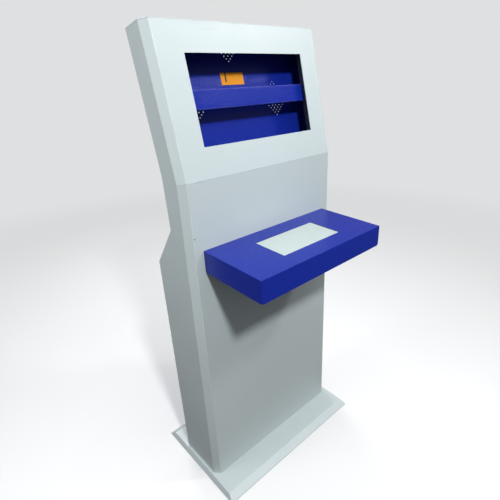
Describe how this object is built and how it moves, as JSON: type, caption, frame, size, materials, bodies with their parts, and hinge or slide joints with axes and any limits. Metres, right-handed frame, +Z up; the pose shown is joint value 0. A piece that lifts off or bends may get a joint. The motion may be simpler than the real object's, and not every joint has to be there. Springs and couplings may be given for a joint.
{
  "type": "touchscreen kiosk",
  "caption": "Free-standing sheet-metal kiosk: leaning display head over a folded column, keyboard shelf, lockable rear service doors and a flat floor base.",
  "frame": {"origin": "centre of the base's underside, on the floor", "axes": "+X to the right of a person who faces the kiosk, +Y towards its rear, +Z up"},
  "size_m": [0.734, 0.644, 1.7463],
  "materials": {
    "grey_powder_coat": "light grey powder coat, satin with a fine orange-peel texture",
    "blue_powder_coat": "ultramarine blue powder coat, satin with an orange-peel texture",
    "zinc_plated_steel": "zinc-plated steel",
    "lock_chrome": "bright nickel-plated lock parts",
    "mill_steel": "dark mill-finish steel plate",
    "pale_laminate": "pale, faintly green laminate sheet",
    "orange_plastic": "orange plastic card, blank",
    "black_plastic": "black nylon strap"
  },
  "bodies": {
    "cabinet": {"base_tray": "grey_powder_coat", "lower_front_panel": "grey_powder_coat", "head_bezel": "grey_powder_coat", "head_top_panel": "grey_powder_coat", "side_panel_left": "grey_powder_coat", "side_panel_right": "grey_powder_coat", "neck_rear_panel": "blue_powder_coat", "lower_rear_sill": "blue_powder_coat", "display_crossbar": "blue_powder_coat", "shelf_tray": "blue_powder_coat", "shelf_bottom_cover": "blue_powder_coat", "base_screw_left": "zinc_plated_steel", "base_screw_right": "zinc_plated_steel", "column_foot_left": "zinc_plated_steel", "column_foot_right": "zinc_plated_steel", "foot_bolt_left_front": "zinc_plated_steel", "foot_bolt_left_rear": "zinc_plated_steel", "foot_bolt_right_front": "zinc_plated_steel", "foot_bolt_right_rear": "zinc_plated_steel", "head_hinge_1_pin_knuckle": "zinc_plated_steel", "head_hinge_2_pin_knuckle": "zinc_plated_steel", "lower_hinge_1_pin_knuckle": "zinc_plated_steel", "lower_hinge_2_pin_knuckle": "zinc_plated_steel", "display_rail_left": "zinc_plated_steel", "display_rail_right": "zinc_plated_steel", "display_ledge": "zinc_plated_steel", "shelf_bracket_left": "zinc_plated_steel", "shelf_bracket_right": "zinc_plated_steel", "equipment_bracket_left": "zinc_plated_steel", "equipment_bracket_right": "zinc_plated_steel", "equipment_shelf": "zinc_plated_steel", "base_ballast_plate": "mill_steel", "keyboard_plate": "pale_laminate"},
    "head_door": {"head_rear_door": "blue_powder_coat", "head_hinge_1_leaf_knuckle": "zinc_plated_steel", "head_hinge_2_leaf_knuckle": "zinc_plated_steel", "head_lock_body": "lock_chrome", "inspection_tag": "orange_plastic", "tag_strap": "black_plastic"},
    "head_lock": {"head_lock_plug": "lock_chrome", "head_lock_cam": "zinc_plated_steel"},
    "lower_door": {"lower_rear_door": "blue_powder_coat", "lower_hinge_1_leaf_knuckle": "zinc_plated_steel", "lower_hinge_2_leaf_knuckle": "zinc_plated_steel", "lower_lock_body": "lock_chrome"},
    "lower_lock": {"lower_lock_plug": "lock_chrome", "lower_lock_cam": "zinc_plated_steel"}
  },
  "joints": [
    {"name": "head_door_hinge", "type": "hinge", "parent": "cabinet", "child": "head_door", "pos_m": [0.3435, 0.04892, 1.51327], "axis": [0, -0.2147, -0.9767], "range_deg": [0, 110]},
    {"name": "lower_door_hinge", "type": "hinge", "parent": "cabinet", "child": "lower_door", "pos_m": [0.3435, 0.1177, 0.51], "axis": [0, 0, -1], "range_deg": [0, 120]},
    {"name": "head_lock_turn", "type": "hinge", "parent": "head_door", "child": "head_lock", "pos_m": [-0.305, 0.04238, 1.51471], "axis": [0, -0.9767, 0.2147], "range_deg": [0, 90]},
    {"name": "lower_lock_turn", "type": "hinge", "parent": "lower_door", "child": "lower_lock", "pos_m": [-0.305, 0.111, 0.51], "axis": [0, -1, 0], "range_deg": [0, 90]}
  ]
}
